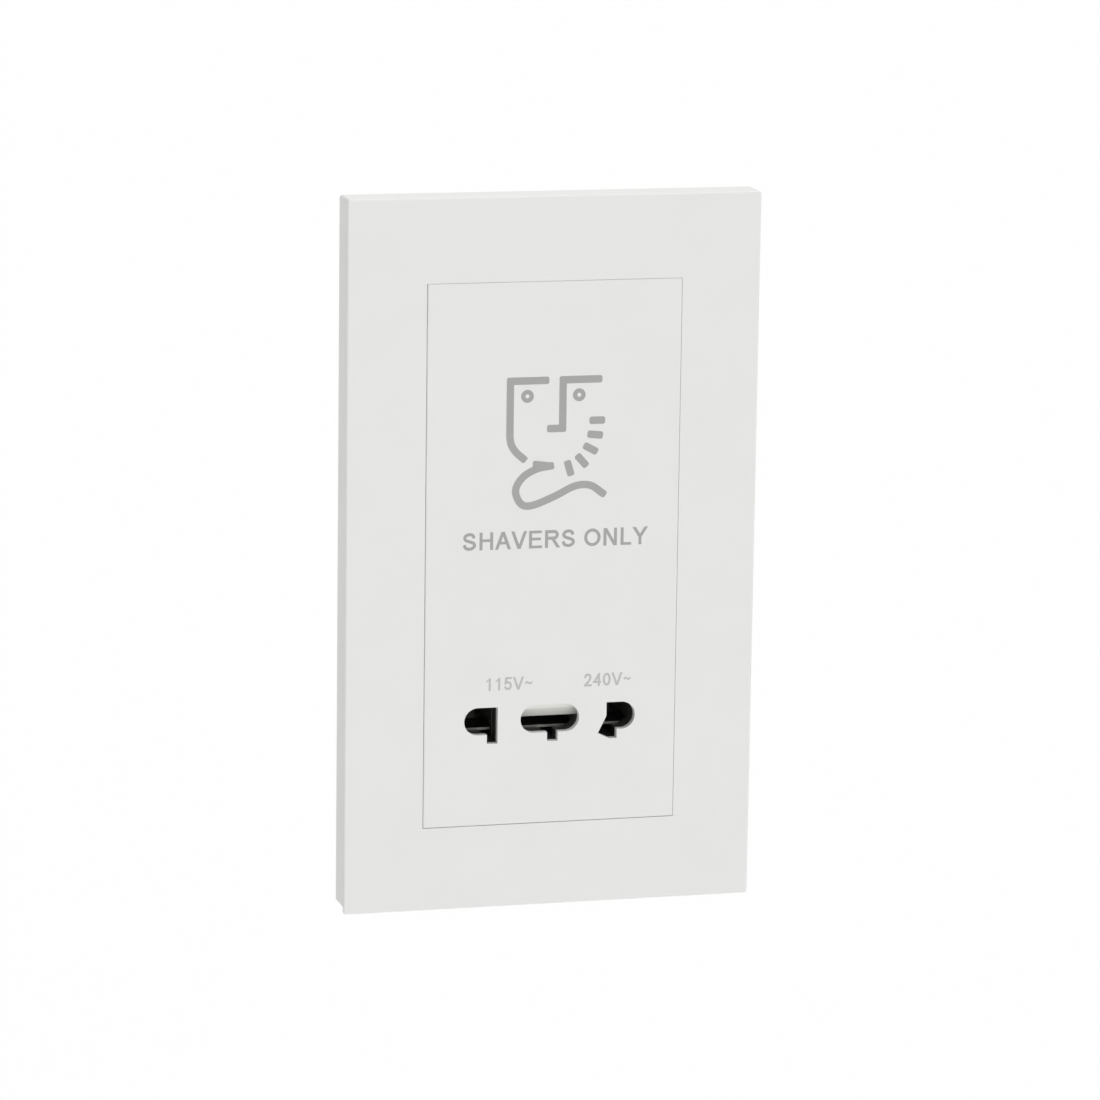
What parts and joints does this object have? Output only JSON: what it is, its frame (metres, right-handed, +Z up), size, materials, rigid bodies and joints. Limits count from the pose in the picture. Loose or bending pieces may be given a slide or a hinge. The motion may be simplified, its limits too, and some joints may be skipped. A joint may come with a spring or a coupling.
{
  "type": "shaver socket",
  "caption": "Flush wall-mounted two-voltage shaver outlet: screwless rectangular plate, three pin apertures, sliding shutter and an isolating transformer in a rear housing.",
  "frame": {"origin": "centre of the plate in the wall plane, midway between the two fixing holes", "axes": "+Z up, the front faces -Y into the room, +Y goes back into the wall box"},
  "size_m": [0.086, 0.0504, 0.147],
  "materials": {
    "white_moulding": "satin",
    "grey_moulding": "matt",
    "housing_moulding": "matt",
    "black_moulding": "matt",
    "shutter_moulding": "satin",
    "spring_steel": "bright drawn",
    "zinc_steel": "zinc plated",
    "tinned_steel": "tinned",
    "plated_brass": "tin plated",
    "contact_brass": "bare",
    "lamination_steel": "oxide edge",
    "bobbin_nylon": "matt",
    "winding_copper": "enamelled",
    "board_laminate": "solder resist",
    "cutout_case": "matt",
    "terminal_moulding": "matt",
    "print_ink": "printed"
  },
  "bodies": {
    "socket_base": {"surround_frame": "white_moulding", "front_cover": "white_moulding", "mounting_yoke": "grey_moulding", "rear_housing": "housing_moulding", "housing_screws": "zinc_steel", "contact_carrier": "black_moulding", "contact_retainer": "black_moulding", "contact_left": "plated_brass", "contact_centre": "plated_brass", "contact_right": "plated_brass", "shutter_spring": "spring_steel", "transformer_core": "lamination_steel", "core_clamp": "zinc_steel", "coil_bobbin": "bobbin_nylon", "primary_winding": "winding_copper", "secondary_winding": "winding_copper", "bobbin_pins": "tinned_steel", "circuit_board": "board_laminate", "thermal_cutout": "cutout_case", "terminal_block": "terminal_moulding", "terminal_line": "contact_brass", "terminal_neutral": "contact_brass", "terminal_earth": "contact_brass", "terminal_screws": "zinc_steel"},
    "shutter_slide": {"shutter": "shutter_moulding"}
  },
  "joints": [
    {"name": "shutter_lift", "type": "slide", "parent": "socket_base", "child": "shutter_slide", "axis": [0, 0, 1], "range_m": [0, 0.0031], "stiffness_N_per_m": 120, "springref_m": -0.003, "deforming": ["shutter_spring"]}
  ]
}
